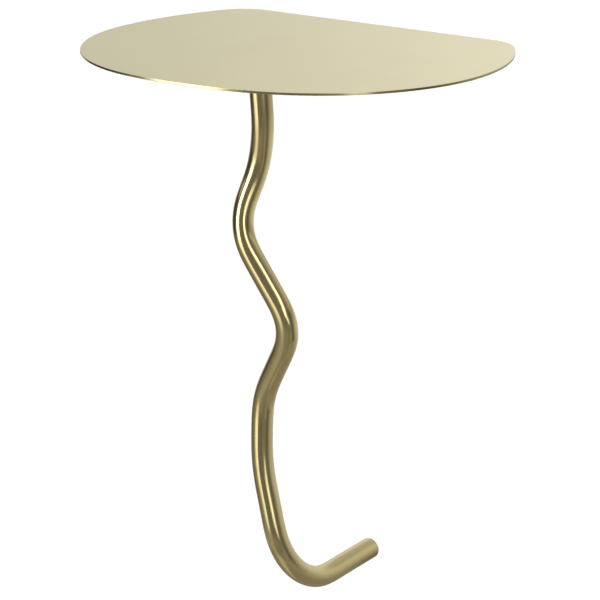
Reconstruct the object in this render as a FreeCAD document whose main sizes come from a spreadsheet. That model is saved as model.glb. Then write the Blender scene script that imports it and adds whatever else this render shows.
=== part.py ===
import FreeCAD, Part
import math
import os

import Sketcher

# Wall console table: a thin brass top with one straight wall edge, carried by the wall along that edge and by one
# wavy tube that bends back to the wall at its foot. Millimetres. X runs along the wall, Y points into the wall,
# Z is up. The origin is on the wall plane, in the middle of the wall bracket's row of screw holes.

doc = FreeCAD.newDocument("wall_console_table")

# Driving dimensions

SIZES = {
    # Tabletop: sheet, rim and outline, whose arcs run into each other. The front arc's middle stands a little to
    # the left, and its radius and those of the arcs beside it set how far from the wall the top is widest.
    "top_width": 500,
    "top_depth": 396,
    "top_thickness": 3,
    "rim_round": 0.5,
    "rim_chamfer": 0.4,
    "front_radius": 407,
    "front_offset": 12,
    "left_front_radius": 210,
    "left_back_radius": 346,
    "left_corner_radius": 52,
    "right_front_radius": 219,
    "right_back_radius": 255,
    "right_corner_radius": 50,
    # Leg: tube, height from the foot's axis to the underside of the top, then the points where its straight runs
    # would meet, from the foot up, as sway along the wall, stand-off from the wall and rise above the point below,
    # each with the radius of its bend at the middle of the tube. The rises share out the leg's height
    "tube_diameter": 27,
    "tube_wall": 2,
    "foot_chamfer": 0.8,
    "leg_height": 685,
    "heel_sway": -5,
    "heel_standoff": 184,
    "heel_radius": 80,
    "ankle_rise": 162,
    "ankle_sway": -57,
    "ankle_standoff": 167,
    "ankle_radius": 240,
    "calf_rise": 82,
    "calf_sway": -61,
    "calf_standoff": 158,
    "calf_radius": 85,
    "knee_rise": 100,
    "knee_sway": -8,
    "knee_standoff": 169,
    "knee_radius": 55,
    "hip_rise": 117,
    "hip_sway": -86,
    "hip_standoff": 176,
    "hip_radius": 80,
    "shoulder_rise": 73,
    "shoulder_sway": -70,
    "shoulder_standoff": 150,
    "shoulder_radius": 95,
    "neck_rise": 49,
    "neck_sway": -60,
    "neck_standoff": 156,
    "neck_radius": 120,
    "crown_rise": 57,
    "crown_sway": -62,
    "crown_standoff": 159,
    "crown_radius": 120,
    "top_rise": 45,
    # Flange brazed round the top of the leg
    "flange_diameter": 92,
    "flange_thickness": 5,
    "flange_hole_circle": 68,
    "collar_diameter": 38,
    "collar_height": 15,
    "collar_root_chamfer": 3,
    "braze_gap": 0.1,
    # Weld studs with their washers and nuts, the same under the flange and the bracket
    "stud_diameter": 5,
    "stud_hole_diameter": 5.6,
    "stud_tail": 2,
    "washer_diameter": 10,
    "washer_thickness": 1,
    "nut_flats": 8,
    "nut_height": 4,
    "thread_gap": 0.1,
    # Wall bracket
    "bracket_length": 290,
    "bracket_shelf": 34,
    "bracket_drop": 34,
    "bracket_thickness": 3,
    "bracket_bend_radius": 3,
    "bracket_corner_radius": 8,
    "screw_drop": 19,
    "wall_hole_spacing": 230,
    "wall_hole_diameter": 5.5,
    "bracket_stud_spacing": 85,
    "bracket_stud_setback": 19,
    # Boss in the leg's open end with its two screw holes, and the set screw that locks the leg on it
    "boss_length": 32,
    "boss_gap": 0.15,
    "boss_chamfer": 1,
    "boss_hole_spacing": 9,
    "boss_hole_diameter": 4,
    "boss_head_diameter": 7.2,
    "set_screw_diameter": 5,
    "set_screw_setback": 16,
}
FLANGE_STUDS = 4
BRACKET_STUDS = 3
BENDS = ("heel", "ankle", "calf", "knee", "hip", "shoulder", "neck", "crown")
FOOT_HEIGHT = "sizes.screw_drop - sizes.leg_height"

sheet = doc.addObject("Spreadsheet::Sheet", "sizes")
for row, (alias, value) in enumerate(SIZES.items(), start=1):
    sheet.set("A%d" % row, alias.replace("_", " "))
    sheet.set("B%d" % row, str(value))
    sheet.setAlias("B%d" % row, alias)
doc.recompute()


def size(alias):
    """A driving dimension, read back from the sheet."""
    return float(sheet.get(alias))


def bind(thing, **formulas):
    """Ties properties of an object to formulas on the sheet; a double underscore stands for a dot."""
    for name, formula in formulas.items():
        thing.setExpression(name.replace("__", "."), formula)


def place(thing, x="0", y="0", z="0"):
    """Ties an object's position to formulas on the sheet."""
    bind(thing, Placement__Base__x=x, Placement__Base__y=y, Placement__Base__z=z)


# Sketch helpers

# What a constraint calls the sketch's axes, whose start is the origin, and the points of a line or an arc
X_AXIS, Y_AXIS = range(-1, -3, -1)
START, END, CENTRE = range(1, 4)


def new_body(label):
    """A body whose label is the piece's name."""
    body = doc.addObject("PartDesign::Body", label)
    body.Label = label
    return body


def origin_part(body, role):
    """One of a body's own origin planes or axes."""
    return next(item for item in body.Origin.OriginFeatures if item.Role == role)


def new_sketch(body, name, plane):
    """A sketch on one of the body's own origin planes."""
    sketch = body.newObject("Sketcher::SketchObject", name)
    sketch.AttachmentSupport = (origin_part(body, plane), [""])
    sketch.MapMode = "FlatFace"
    return sketch


def dimension(sketch, name, formula, *constraint):
    """Adds a named dimension and ties it to a formula on the sheet."""
    index = sketch.addConstraint(Sketcher.Constraint(*constraint))
    sketch.renameConstraint(index, name)
    sketch.setExpression("Constraints." + name, formula)


def hold(sketch, name, direction, formula, geometry, point, start):
    """Dimensions a sketch point from the sketch's origin; the sign of its first place picks the side."""
    ends = (X_AXIS, START, geometry, point) if start > 0 else (geometry, point, X_AXIS, START)
    dimension(sketch, name, formula, "Distance" + direction, *ends, abs(start))


def vector(x, y, z=0.0):
    return FreeCAD.Vector(x, y, z)


def polygon(sketch, corners):
    """Closed straight outline. A corner is (x, x formula, y, y formula); a None formula puts it on the axis."""
    points = [vector(x, y) for x, _, y, _ in corners]
    count = len(points)
    for index, point in enumerate(points):
        sketch.addGeometry(Part.LineSegment(point, points[(index + 1) % count]), False)
    for index in range(count):
        sketch.addConstraint(Sketcher.Constraint("Coincident", index, END, (index + 1) % count, START))
    for index, (x, x_formula, y, y_formula) in enumerate(corners):
        if x_formula is None:
            sketch.addConstraint(Sketcher.Constraint("PointOnObject", index, START, Y_AXIS))
        else:
            hold(sketch, "x%d" % index, "X", x_formula, index, START, x)
        if y_formula is None:
            sketch.addConstraint(Sketcher.Constraint("PointOnObject", index, START, X_AXIS))
        else:
            hold(sketch, "y%d" % index, "Y", y_formula, index, START, y)


# Tabletop outline

HALF_WIDTH = size("top_width") / 2


def side_start(side, front_x):
    """First shape of one side of the outline, as on the right: how far from the wall it is widest, where its corner
    is centred along the wall, and the angles where the corner meets the back arc and where the front arc ends."""
    front = size("front_radius")
    front_side = size(side + "_front_radius")
    back = size(side + "_back_radius")
    corner = size(side + "_corner_radius")
    across = HALF_WIDTH - front_side - front_x
    rise = math.sqrt((front - front_side) ** 2 - across ** 2)
    widest = size("top_depth") - front + rise
    along = math.sqrt((back - corner) ** 2 - (widest - corner) ** 2)
    corner_x = HALF_WIDTH - back + along
    return widest, corner_x, math.atan2(widest - corner, along), math.atan2(-rise, across)


def draw_outline(sketch):
    """Straight wall edge and seven tangent arcs, counter-clockwise from the wall edge's right end."""
    depth = size("top_depth")
    offset = size("front_offset")
    left_widest, left_x, left_bend, left_end = side_start("left", offset)
    right_widest, right_x, right_bend, right_end = side_start("right", -offset)

    def add_arc(name, x, y, first, last):
        """Counter-clockwise arc, between two angles, whose radius is the size of the same name."""
        circle = Part.Circle(vector(x, y), vector(0, 0, 1), size(name))
        geometry = sketch.addGeometry(Part.ArcOfCircle(circle, first, last), False)
        dimension(sketch, name, "sizes." + name, "Radius", geometry, size(name))
        return geometry

    pi = math.pi
    left_front_x = size("left_front_radius") - HALF_WIDTH
    left_back_x = size("left_back_radius") - HALF_WIDTH
    right_front_x = HALF_WIDTH - size("right_front_radius")
    right_back_x = HALF_WIDTH - size("right_back_radius")
    wall_edge = sketch.addGeometry(Part.LineSegment(vector(right_x, 0), vector(-left_x, 0)), False)
    left_corner = add_arc("left_corner_radius", -left_x, -size("left_corner_radius"), pi / 2, pi - left_bend)
    left_back = add_arc("left_back_radius", left_back_x, -left_widest, pi - left_bend, pi)
    left_front = add_arc("left_front_radius", left_front_x, -left_widest, pi, pi - left_end)
    front = add_arc("front_radius", -offset, size("front_radius") - depth, pi - left_end, 2 * pi + right_end)
    right_front = add_arc("right_front_radius", right_front_x, -right_widest, right_end, 0)
    right_back = add_arc("right_back_radius", right_back_x, -right_widest, 0, right_bend)
    right_corner = add_arc("right_corner_radius", right_x, -size("right_corner_radius"), right_bend, pi / 2)
    outline = [wall_edge, left_corner, left_back, left_front, front, right_front, right_back, right_corner]
    for piece, following in zip(outline, outline[1:] + outline[:1]):
        sketch.addConstraint(Sketcher.Constraint("Tangent", piece, END, following, START))
    sketch.addConstraint(Sketcher.Constraint("PointOnObject", wall_edge, START, X_AXIS))
    sketch.addConstraint(Sketcher.Constraint("Horizontal", wall_edge))

    # Widest on each side where the back arc runs into the front one, level with their centres
    sketch.addConstraint(Sketcher.Constraint("Horizontal", left_back, CENTRE, left_back, END))
    sketch.addConstraint(Sketcher.Constraint("Horizontal", right_back, CENTRE, right_back, START))
    hold(sketch, "left_reach", "X", "sizes.top_width / 2", left_back, END, -HALF_WIDTH)
    hold(sketch, "right_reach", "X", "sizes.top_width / 2", right_back, START, HALF_WIDTH)

    # Deepest at the middle of the front arc
    deepest = sketch.addGeometry(Part.Point(vector(-offset, -depth)), True)
    sketch.addConstraint(Sketcher.Constraint("PointOnObject", deepest, START, front))
    sketch.addConstraint(Sketcher.Constraint("Vertical", deepest, START, front, CENTRE))
    hold(sketch, "depth", "Y", "sizes.top_depth", deepest, START, -depth)
    hold(sketch, "front_offset", "X", "sizes.front_offset", deepest, START, -offset)


def flat_edges(shape, height):
    """Names of the edges that lie flat at the given height."""
    names = []
    for index, edge in enumerate(shape.Edges, start=1):
        if abs(edge.BoundBox.ZMin - height) < 1e-6 and abs(edge.BoundBox.ZMax - height) < 1e-6:
            names.append("Edge%d" % index)
    return names


def make_tabletop():
    """Sheet with its underside on the bracket's shelf, its rim rounded above and chamfered below."""
    body = new_body("tabletop")
    sketch = new_sketch(body, "top_outline", "XY_Plane")
    draw_outline(sketch)
    plate = body.newObject("PartDesign::Pad", "top_plate")
    plate.Profile = sketch
    bind(plate, Length="sizes.top_thickness")
    doc.recompute()
    rim = body.newObject("PartDesign::Fillet", "top_rim")
    rim.Base = (plate, flat_edges(plate.Shape, size("top_thickness")))
    bind(rim, Radius="sizes.rim_round")
    doc.recompute()
    under_rim = body.newObject("PartDesign::Chamfer", "top_under_rim")
    under_rim.Base = (rim, flat_edges(rim.Shape, 0.0))
    bind(under_rim, Size="sizes.rim_chamfer")
    place(body, z="sizes.screw_drop")
    return body


# Leg

def bend_points():
    """Where the leg's straight runs meet, from the foot's end at the wall up to the underside of the top."""
    rises = [0] + [size(bend + "_rise") for bend in BENDS[1:]]
    share = size("leg_height") / (sum(rises) + size("top_rise"))
    height = size("screw_drop") - size("leg_height")
    points = [vector(size("heel_sway"), 0, height)]
    for bend, rise in zip(BENDS, rises):
        height += rise * share
        points.append(vector(size(bend + "_sway"), -size(bend + "_standoff"), height))
    points.append(vector(size("crown_sway"), -size("crown_standoff"), size("screw_drop")))
    return points


def leg_centreline():
    """Straight runs joined by tangent arcs, one arc for each bend."""
    points = bend_points()
    edges = []
    last = points[0]
    for index, bend in enumerate(BENDS, start=1):
        corner = points[index]
        down = (points[index - 1] - corner).normalize()
        up = (points[index + 1] - corner).normalize()
        radius = size(bend + "_radius")
        half_turn = (math.pi - up.getAngle(down)) / 2
        reach = radius * math.tan(half_turn)
        first = corner + down * reach
        final = corner + up * reach
        middle = (up + down).normalize()
        halfway = corner + middle * (radius / math.cos(half_turn) - radius)
        edges.append(Part.LineSegment(last, first).toShape())
        edges.append(Part.Arc(first, halfway, final).toShape())
        last = final
    edges.append(Part.LineSegment(last, points[-1]).toShape())
    return Part.Wire(edges)


def sweep_along(path, name, radius_formula):
    """Round bar along the leg's centreline, from a circle round the top of the leg."""
    section = doc.addObject("Part::Circle", name + "_section")
    bind(section, Radius=radius_formula)
    place(section, "sizes.crown_sway", "-sizes.crown_standoff", "sizes.screw_drop")
    bar = doc.addObject("Part::Sweep", name)
    bar.Sections = [section]
    bar.Spine = (path, ["Edge%d" % (index + 1) for index in range(len(path.Shape.Edges))])
    bar.Solid = True
    bar.Frenet = False
    return bar


def make_leg():
    """Bent tube with an open foot, a chamfer round the foot's end and the set screw's hole under the foot."""
    path = doc.addObject("Part::Feature", "leg_path")
    path.Shape = leg_centreline()
    outside = sweep_along(path, "leg_outside", "sizes.tube_diameter / 2")
    inside = sweep_along(path, "leg_inside", "sizes.tube_diameter / 2 - sizes.tube_wall")
    tube = doc.addObject("Part::Cut", "leg_tube")
    tube.Base = outside
    tube.Tool = inside
    drill = doc.addObject("Part::Cylinder", "set_screw_drill")
    bind(drill, Radius="sizes.set_screw_diameter / 2 + sizes.thread_gap", Height="sizes.tube_diameter / 2")
    place(drill, "sizes.heel_sway", "-sizes.set_screw_setback", FOOT_HEIGHT + " - sizes.tube_diameter / 2")
    drilled = doc.addObject("Part::Cut", "leg_drilled")
    drilled.Base = tube
    drilled.Tool = drill
    doc.recompute()
    chamfer = size("foot_chamfer")
    leg = doc.addObject("Part::Chamfer", "leg")
    leg.Base = drilled
    leg.Edges = [(number, chamfer, chamfer) for number in foot_rim(drilled.Shape)]
    leg.Label = "leg"
    return leg


def foot_rim(shape):
    """Numbers of the edges round the outside of the foot's end, on the wall plane."""
    outer = size("tube_diameter") / 2
    numbers = []
    for index, edge in enumerate(shape.Edges, start=1):
        flat = abs(edge.BoundBox.YMin) < 1e-4 and abs(edge.BoundBox.YMax) < 1e-4
        if flat and isinstance(edge.Curve, Part.Circle) and abs(edge.Curve.Radius - outer) < 1e-4:
            numbers.append(index)
    return numbers


# Flange on top of the leg

def ring_of_holes(body, name, circle_formula, circle, hole_formula, hole, count):
    """One hole on a circle round the body's Z axis, cut right through and repeated round the axis."""
    sketch = new_sketch(body, name + "_sketch", "XY_Plane")
    sketch.addGeometry(Part.Circle(vector(circle / 2, 0), vector(0, 0, 1), hole / 2), False)
    sketch.addConstraint(Sketcher.Constraint("PointOnObject", 0, CENTRE, X_AXIS))
    hold(sketch, "hole_place", "X", circle_formula + " / 2", 0, CENTRE, circle / 2)
    dimension(sketch, "hole_size", hole_formula, "Diameter", 0, hole)
    cut = body.newObject("PartDesign::Pocket", name)
    cut.Profile = sketch
    cut.Type = "ThroughAll"
    cut.SideType = "Symmetric"
    doc.recompute()
    ring = body.newObject("PartDesign::PolarPattern", name + "_ring")
    ring.Originals = [cut]
    ring.Axis = (origin_part(body, "Z_Axis"), [""])
    ring.Angle = 360
    ring.Occurrences = count
    body.Tip = ring


def make_leg_flange():
    """Turned disc with a collar that the leg's top is brazed into."""
    body = new_body("leg_flange")
    profile = new_sketch(body, "flange_profile", "XZ_Plane")
    bore = size("tube_diameter") / 2 + size("braze_gap")
    bore_formula = "sizes.tube_diameter / 2 + sizes.braze_gap"
    disc = size("flange_diameter") / 2
    collar = size("collar_diameter") / 2
    under = -size("flange_thickness")
    low = under - size("collar_height")
    root = size("collar_root_chamfer")
    under_formula = "sizes.flange_thickness"
    low_formula = "sizes.flange_thickness + sizes.collar_height"
    polygon(profile, [
        (bore, bore_formula, 0, None),
        (disc, "sizes.flange_diameter / 2", 0, None),
        (disc, "sizes.flange_diameter / 2", under, under_formula),
        (collar + root, "sizes.collar_diameter / 2 + sizes.collar_root_chamfer", under, under_formula),
        (collar, "sizes.collar_diameter / 2", under - root, under_formula + " + sizes.collar_root_chamfer"),
        (collar, "sizes.collar_diameter / 2", low, low_formula),
        (bore, bore_formula, low, low_formula),
    ])
    turned = body.newObject("PartDesign::Revolution", "flange_turned")
    turned.Profile = profile
    turned.ReferenceAxis = (profile, ["V_Axis"])
    turned.Angle = 360
    doc.recompute()
    ring_of_holes(
        body, "flange_holes",
        "sizes.flange_hole_circle", size("flange_hole_circle"),
        "sizes.stud_hole_diameter", size("stud_hole_diameter"), FLANGE_STUDS)
    place(body, "sizes.crown_sway", "-sizes.crown_standoff", "sizes.screw_drop")
    return body


# Weld studs, washers and nuts

def ring_places(count):
    """Formulas for the places of the flange's fixings round the top of the leg."""
    places = []
    for index in range(count):
        angle = 360 * index / count
        x = "sizes.crown_sway + sizes.flange_hole_circle / 2 * cos(%g)" % angle
        y = "-sizes.crown_standoff + sizes.flange_hole_circle / 2 * sin(%g)" % angle
        places.append((x, y))
    return places


def row_places(count):
    """Formulas for the places of the bracket's fixings in a row along the wall."""
    return [
        ("sizes.bracket_stud_spacing * %g" % (index - (count - 1) / 2), "-sizes.bracket_stud_setback")
        for index in range(count)
    ]


def group(label, solids):
    """Like pieces, each its own solid, under one name."""
    together = doc.addObject("Part::Compound", label)
    together.Links = solids
    together.Label = label
    return together


def make_studs(label, places, seat_thickness):
    """Studs from the underside of the top, through the seat, washer and nut, with a short tail."""
    length = seat_thickness + " + sizes.washer_thickness + sizes.nut_height + sizes.stud_tail"
    solids = []
    for index, (x, y) in enumerate(places):
        stud = doc.addObject("Part::Cylinder", "%s_%d" % (label, index))
        bind(stud, Radius="sizes.stud_diameter / 2", Height=length)
        place(stud, x, y, "sizes.screw_drop - (%s)" % length)
        solids.append(stud)
    return group(label, solids)


def make_washers(label, places, seat_thickness):
    """Flat washers under the seat."""
    top = "sizes.screw_drop - (%s) - sizes.washer_thickness" % seat_thickness
    solids = []
    for index, (x, y) in enumerate(places):
        disc = doc.addObject("Part::Cylinder", "%s_disc_%d" % (label, index))
        bind(disc, Radius="sizes.washer_diameter / 2", Height="sizes.washer_thickness")
        hole = doc.addObject("Part::Cylinder", "%s_hole_%d" % (label, index))
        bind(hole, Radius="sizes.stud_hole_diameter / 2", Height="sizes.washer_thickness")
        for piece in (disc, hole):
            place(piece, x, y, top)
        washer = doc.addObject("Part::Cut", "%s_%d" % (label, index))
        washer.Base = disc
        washer.Tool = hole
        solids.append(washer)
    return group(label, solids)


def make_nuts(label, places, seat_thickness):
    """Hexagon nuts under the washers."""
    low = "sizes.screw_drop - (%s) - sizes.washer_thickness - sizes.nut_height" % seat_thickness
    solids = []
    for index, (x, y) in enumerate(places):
        hexagon = doc.addObject("Part::Prism", "%s_hexagon_%d" % (label, index))
        hexagon.Polygon = 6
        bind(hexagon, Circumradius="sizes.nut_flats / sqrt(3)", Height="sizes.nut_height")
        thread = doc.addObject("Part::Cylinder", "%s_thread_%d" % (label, index))
        bind(thread, Radius="sizes.stud_diameter / 2 + sizes.thread_gap", Height="sizes.nut_height")
        for piece in (hexagon, thread):
            place(piece, x, y, low)
        nut = doc.addObject("Part::Cut", "%s_%d" % (label, index))
        nut.Base = hexagon
        nut.Tool = thread
        solids.append(nut)
    return group(label, solids)


# Wall bracket

def row_of_holes(body, name, plane, spots, hole_formula, hole):
    """Round holes through the body; a spot is (x, x formula, y, y formula) with None on an axis."""
    sketch = new_sketch(body, name + "_sketch", plane)
    for index, (x, x_formula, y, y_formula) in enumerate(spots):
        sketch.addGeometry(Part.Circle(vector(x, y), vector(0, 0, 1), hole / 2), False)
        if x_formula is None:
            sketch.addConstraint(Sketcher.Constraint("PointOnObject", index, CENTRE, Y_AXIS))
        else:
            hold(sketch, "x%d" % index, "X", x_formula, index, CENTRE, x)
        if y_formula is None:
            sketch.addConstraint(Sketcher.Constraint("PointOnObject", index, CENTRE, X_AXIS))
        else:
            hold(sketch, "y%d" % index, "Y", y_formula, index, CENTRE, y)
        dimension(sketch, "size%d" % index, hole_formula, "Diameter", index, hole)
    cut = body.newObject("PartDesign::Pocket", name)
    cut.Profile = sketch
    cut.Type = "ThroughAll"
    cut.SideType = "Symmetric"
    doc.recompute()
    return cut


def edges_along(shape, axis, test):
    """Names of the straight edges along an axis whose middle passes the test."""
    names = []
    for index, edge in enumerate(shape.Edges, start=1):
        if not isinstance(edge.Curve, Part.Line):
            continue
        if abs(abs(edge.Curve.Direction.dot(axis)) - 1) < 1e-6 and test(edge.CenterOfMass):
            names.append("Edge%d" % index)
    return names


def make_wall_bracket():
    """Folded angle: a shelf under the top and a flange on the wall with the screw holes."""
    body = new_body("wall_bracket")
    profile = new_sketch(body, "bracket_profile", "YZ_Plane")
    top = size("screw_drop")
    thick = size("bracket_thickness")
    shelf = size("bracket_shelf")
    low = top - size("bracket_drop")
    low_formula = "sizes.bracket_drop - sizes.screw_drop"
    under_formula = "sizes.screw_drop - sizes.bracket_thickness"
    polygon(profile, [
        (0, None, top, "sizes.screw_drop"),
        (-shelf, "sizes.bracket_shelf", top, "sizes.screw_drop"),
        (-shelf, "sizes.bracket_shelf", top - thick, under_formula),
        (-thick, "sizes.bracket_thickness", top - thick, under_formula),
        (-thick, "sizes.bracket_thickness", low, low_formula),
        (0, None, low, low_formula),
    ])
    angle = body.newObject("PartDesign::Pad", "bracket_angle")
    angle.Profile = profile
    angle.SideType = "Symmetric"
    bind(angle, Length="sizes.bracket_length")
    doc.recompute()

    along = vector(1, 0, 0)
    inner = edges_along(angle.Shape, along, lambda p: abs(p.y + thick) < 1e-6 and abs(p.z - top + thick) < 1e-6)
    fold_inside = body.newObject("PartDesign::Fillet", "bracket_fold_inside")
    fold_inside.Base = (angle, inner)
    bind(fold_inside, Radius="sizes.bracket_bend_radius")
    doc.recompute()
    outer = edges_along(fold_inside.Shape, along, lambda p: abs(p.y) < 1e-6 and abs(p.z - top) < 1e-6)
    fold_outside = body.newObject("PartDesign::Fillet", "bracket_fold_outside")
    fold_outside.Base = (fold_inside, outer)
    bind(fold_outside, Radius="sizes.bracket_bend_radius + sizes.bracket_thickness")
    doc.recompute()

    shape = fold_outside.Shape
    shelf_corners = edges_along(shape, vector(0, 0, 1), lambda p: abs(p.y + shelf) < 1e-6)
    wall_corners = edges_along(shape, vector(0, 1, 0), lambda p: abs(p.z - low) < 1e-6)
    corners = body.newObject("PartDesign::Fillet", "bracket_corners")
    corners.Base = (fold_outside, shelf_corners + wall_corners)
    bind(corners, Radius="sizes.bracket_corner_radius")
    doc.recompute()

    half = size("wall_hole_spacing") / 2
    half_formula = "sizes.wall_hole_spacing / 2"
    row_of_holes(
        body, "wall_holes", "XZ_Plane",
        [(-half, half_formula, 0, None), (half, half_formula, 0, None)],
        "sizes.wall_hole_diameter", size("wall_hole_diameter"))
    setback = -size("bracket_stud_setback")
    setback_formula = "sizes.bracket_stud_setback"
    spacing = size("bracket_stud_spacing")
    spacing_formula = "sizes.bracket_stud_spacing"
    row_of_holes(
        body, "stud_holes", "XY_Plane",
        [(-spacing, spacing_formula, setback, setback_formula),
         (0, None, setback, setback_formula),
         (spacing, spacing_formula, setback, setback_formula)],
        "sizes.stud_hole_diameter", size("stud_hole_diameter"))
    return body


# Foot fixing

def make_foot_boss():
    """Turned plug in the leg's open end, with a chamfered nose and two countersunk screw holes side by side."""
    body = new_body("foot_boss")
    profile = new_sketch(body, "boss_profile", "XZ_Plane")
    outer = size("tube_diameter") / 2 - size("tube_wall") - size("boss_gap")
    outer_formula = "sizes.tube_diameter / 2 - sizes.tube_wall - sizes.boss_gap"
    chamfer = size("boss_chamfer")
    length = size("boss_length")
    polygon(profile, [
        (0, None, 0, None),
        (outer - chamfer, outer_formula + " - sizes.boss_chamfer", 0, None),
        (outer, outer_formula, chamfer, "sizes.boss_chamfer"),
        (outer, outer_formula, length, "sizes.boss_length"),
        (0, None, length, "sizes.boss_length"),
    ])
    turned = body.newObject("PartDesign::Revolution", "boss_turned")
    turned.Profile = profile
    turned.ReferenceAxis = (profile, ["V_Axis"])
    turned.Angle = 360
    doc.recompute()
    half = size("boss_hole_spacing") / 2
    half_formula = "sizes.boss_hole_spacing / 2"
    drilled = row_of_holes(
        body, "boss_holes", "XY_Plane",
        [(-half, half_formula, 0, None), (half, half_formula, 0, None)],
        "sizes.boss_hole_diameter", size("boss_hole_diameter"))
    sinks = body.newObject("PartDesign::Chamfer", "boss_countersinks")
    sinks.Base = (drilled, hole_rims(drilled.Shape, size("boss_hole_diameter") / 2, 0.0))
    bind(sinks, Size="(sizes.boss_head_diameter - sizes.boss_hole_diameter) / 2")
    body.Placement.Rotation = FreeCAD.Rotation(vector(1, 0, 0), -90)
    place(body, "sizes.heel_sway", "-sizes.boss_length", FOOT_HEIGHT)
    return body


def hole_rims(shape, radius, height):
    """Names of the round edges of a given radius that lie flat at the given height."""
    return [
        name for name in flat_edges(shape, height)
        if isinstance(shape.getElement(name).Curve, Part.Circle)
        and abs(shape.getElement(name).Curve.Radius - radius) < 1e-6
    ]


def make_foot_set_screw():
    """Grub screw from the outside of the tube to the boss, with a hexagon socket in its outer end."""
    length = "sizes.tube_wall + sizes.boss_gap"
    low = FOOT_HEIGHT + " - sizes.tube_diameter / 2"
    shank = doc.addObject("Part::Cylinder", "set_screw_shank")
    bind(shank, Radius="sizes.set_screw_diameter / 2", Height=length)
    socket = doc.addObject("Part::Prism", "set_screw_socket")
    socket.Polygon = 6
    bind(socket, Circumradius="sizes.set_screw_diameter / 4", Height="(%s) / 2" % length)
    for piece in (shank, socket):
        place(piece, "sizes.heel_sway", "-sizes.set_screw_setback", low)
    screw = doc.addObject("Part::Cut", "foot_set_screw")
    screw.Base = shank
    screw.Tool = socket
    screw.Label = "foot_set_screw"
    return screw


# Assembly

under_flange = "sizes.flange_thickness"
under_bracket = "sizes.bracket_thickness"
flange_places = ring_places(FLANGE_STUDS)
bracket_places = row_places(BRACKET_STUDS)

parts = [
    make_tabletop(),
    make_leg(),
    make_leg_flange(),
    make_studs("flange_studs", flange_places, under_flange),
    make_washers("flange_washers", flange_places, under_flange),
    make_nuts("flange_nuts", flange_places, under_flange),
    make_wall_bracket(),
    make_studs("bracket_studs", bracket_places, under_bracket),
    make_washers("bracket_washers", bracket_places, under_bracket),
    make_nuts("bracket_nuts", bracket_places, under_bracket),
    make_foot_boss(),
    make_foot_set_screw(),
]
doc.recompute()

# Every feature has to have worked before anything is written

for item in doc.Objects:
    if "Invalid" in item.State or "Error" in item.State:
        raise RuntimeError("%s failed: %s" % (item.Label, item.State))
for part in parts:
    if part.Shape.isNull() or not part.Shape.isValid():
        raise RuntimeError("%s has no valid shape" % part.Label)

os.makedirs("parts", exist_ok=True)
for part in parts:
    part.Shape.exportStep("parts/%s.step" % part.Label)
    box = part.Shape.optimalBoundingBox()
    print("%-16s solids %d  volume %.0f mm3  size %.1f x %.1f x %.1f mm" % (
        part.Label, len(part.Shape.Solids), part.Shape.Volume, box.XLength, box.YLength, box.ZLength))
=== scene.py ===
# %% [markdown]
# Wall console table.
# A thin brass top hangs on the wall by its straight edge. A wavy brass tube runs down from under the top
# and turns back to the wall at its foot. The imported CAD model is the frame of this lesson: it fixes every
# place and size, in metres, and the steps below give each piece its surface, its finish and its light.

import math

import bmesh
import bpy
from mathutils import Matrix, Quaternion, Vector


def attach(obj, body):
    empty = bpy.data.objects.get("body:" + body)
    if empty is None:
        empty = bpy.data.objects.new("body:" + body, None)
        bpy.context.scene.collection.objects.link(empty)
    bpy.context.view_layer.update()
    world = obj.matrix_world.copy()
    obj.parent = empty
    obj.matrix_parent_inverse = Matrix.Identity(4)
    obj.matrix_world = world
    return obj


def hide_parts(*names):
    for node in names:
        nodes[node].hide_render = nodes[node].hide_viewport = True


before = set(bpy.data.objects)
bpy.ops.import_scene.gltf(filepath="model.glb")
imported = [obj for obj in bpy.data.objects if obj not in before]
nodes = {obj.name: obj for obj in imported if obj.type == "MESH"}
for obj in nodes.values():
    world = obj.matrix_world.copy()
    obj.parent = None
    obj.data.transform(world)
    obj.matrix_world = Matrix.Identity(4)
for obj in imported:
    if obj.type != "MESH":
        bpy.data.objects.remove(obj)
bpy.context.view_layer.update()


print("CAD pieces:", ", ".join(sorted(nodes)))

# %% [markdown]
# Shader maths.
# Every finish below is a small sum of textures. Nodes could be placed and linked one by one, but a sum reads
# better as a sum. The class wraps one output socket: plus, minus, times and over on it add Math nodes, and
# node() adds any other node with its settings, its values and its links.


# %% Wires that add up
class Wire:
    """One output of a shader node, with the sums that the finishes use."""

    def __init__(self, tree, socket=None):
        self.tree = tree
        self.socket = socket

    def node(self, kind, settings=(), inputs=(), output=0):
        """Any node: its type, its settings, which are set first, and the values or links of its sockets."""
        made = self.tree.nodes.new("ShaderNode" + kind)
        for name, value in dict(settings).items():
            setattr(made, name, value)
        for name, value in dict(inputs).items():
            if isinstance(value, Wire):
                self.tree.links.new(value.socket, made.inputs[name])
            else:
                made.inputs[name].default_value = value
        return Wire(self.tree, made.outputs[output] if made.outputs else None)

    def math(self, operation, first, second=0.0):
        """A Math node on numbers or wires."""
        return self.node("Math", {"operation": operation}, {0: first, 1: second})

    def __add__(self, other):
        return self.math("ADD", self, other)

    def __radd__(self, other):
        return self.math("ADD", other, self)

    def __sub__(self, other):
        return self.math("SUBTRACT", self, other)

    def __rsub__(self, other):
        return self.math("SUBTRACT", other, self)

    def __mul__(self, other):
        return self.math("MULTIPLY", self, other)

    def __rmul__(self, other):
        return self.math("MULTIPLY", other, self)

    def __truediv__(self, other):
        return self.math("DIVIDE", self, other)

    def __rtruediv__(self, other):
        return self.math("DIVIDE", other, self)


print("Sums on wires are ready")

# %% [markdown]
# What every finish is made of.
# No metal has one flat colour: its tone, its gloss and its surface drift a little, in lumps of a certain
# size. Image textures could show that, but noise that is measured in metres fits any shape without
# unwrapping it. So a finish here has two tones, grain with lumps of so many millimetres, and a relief with a
# depth in millimetres.


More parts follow.
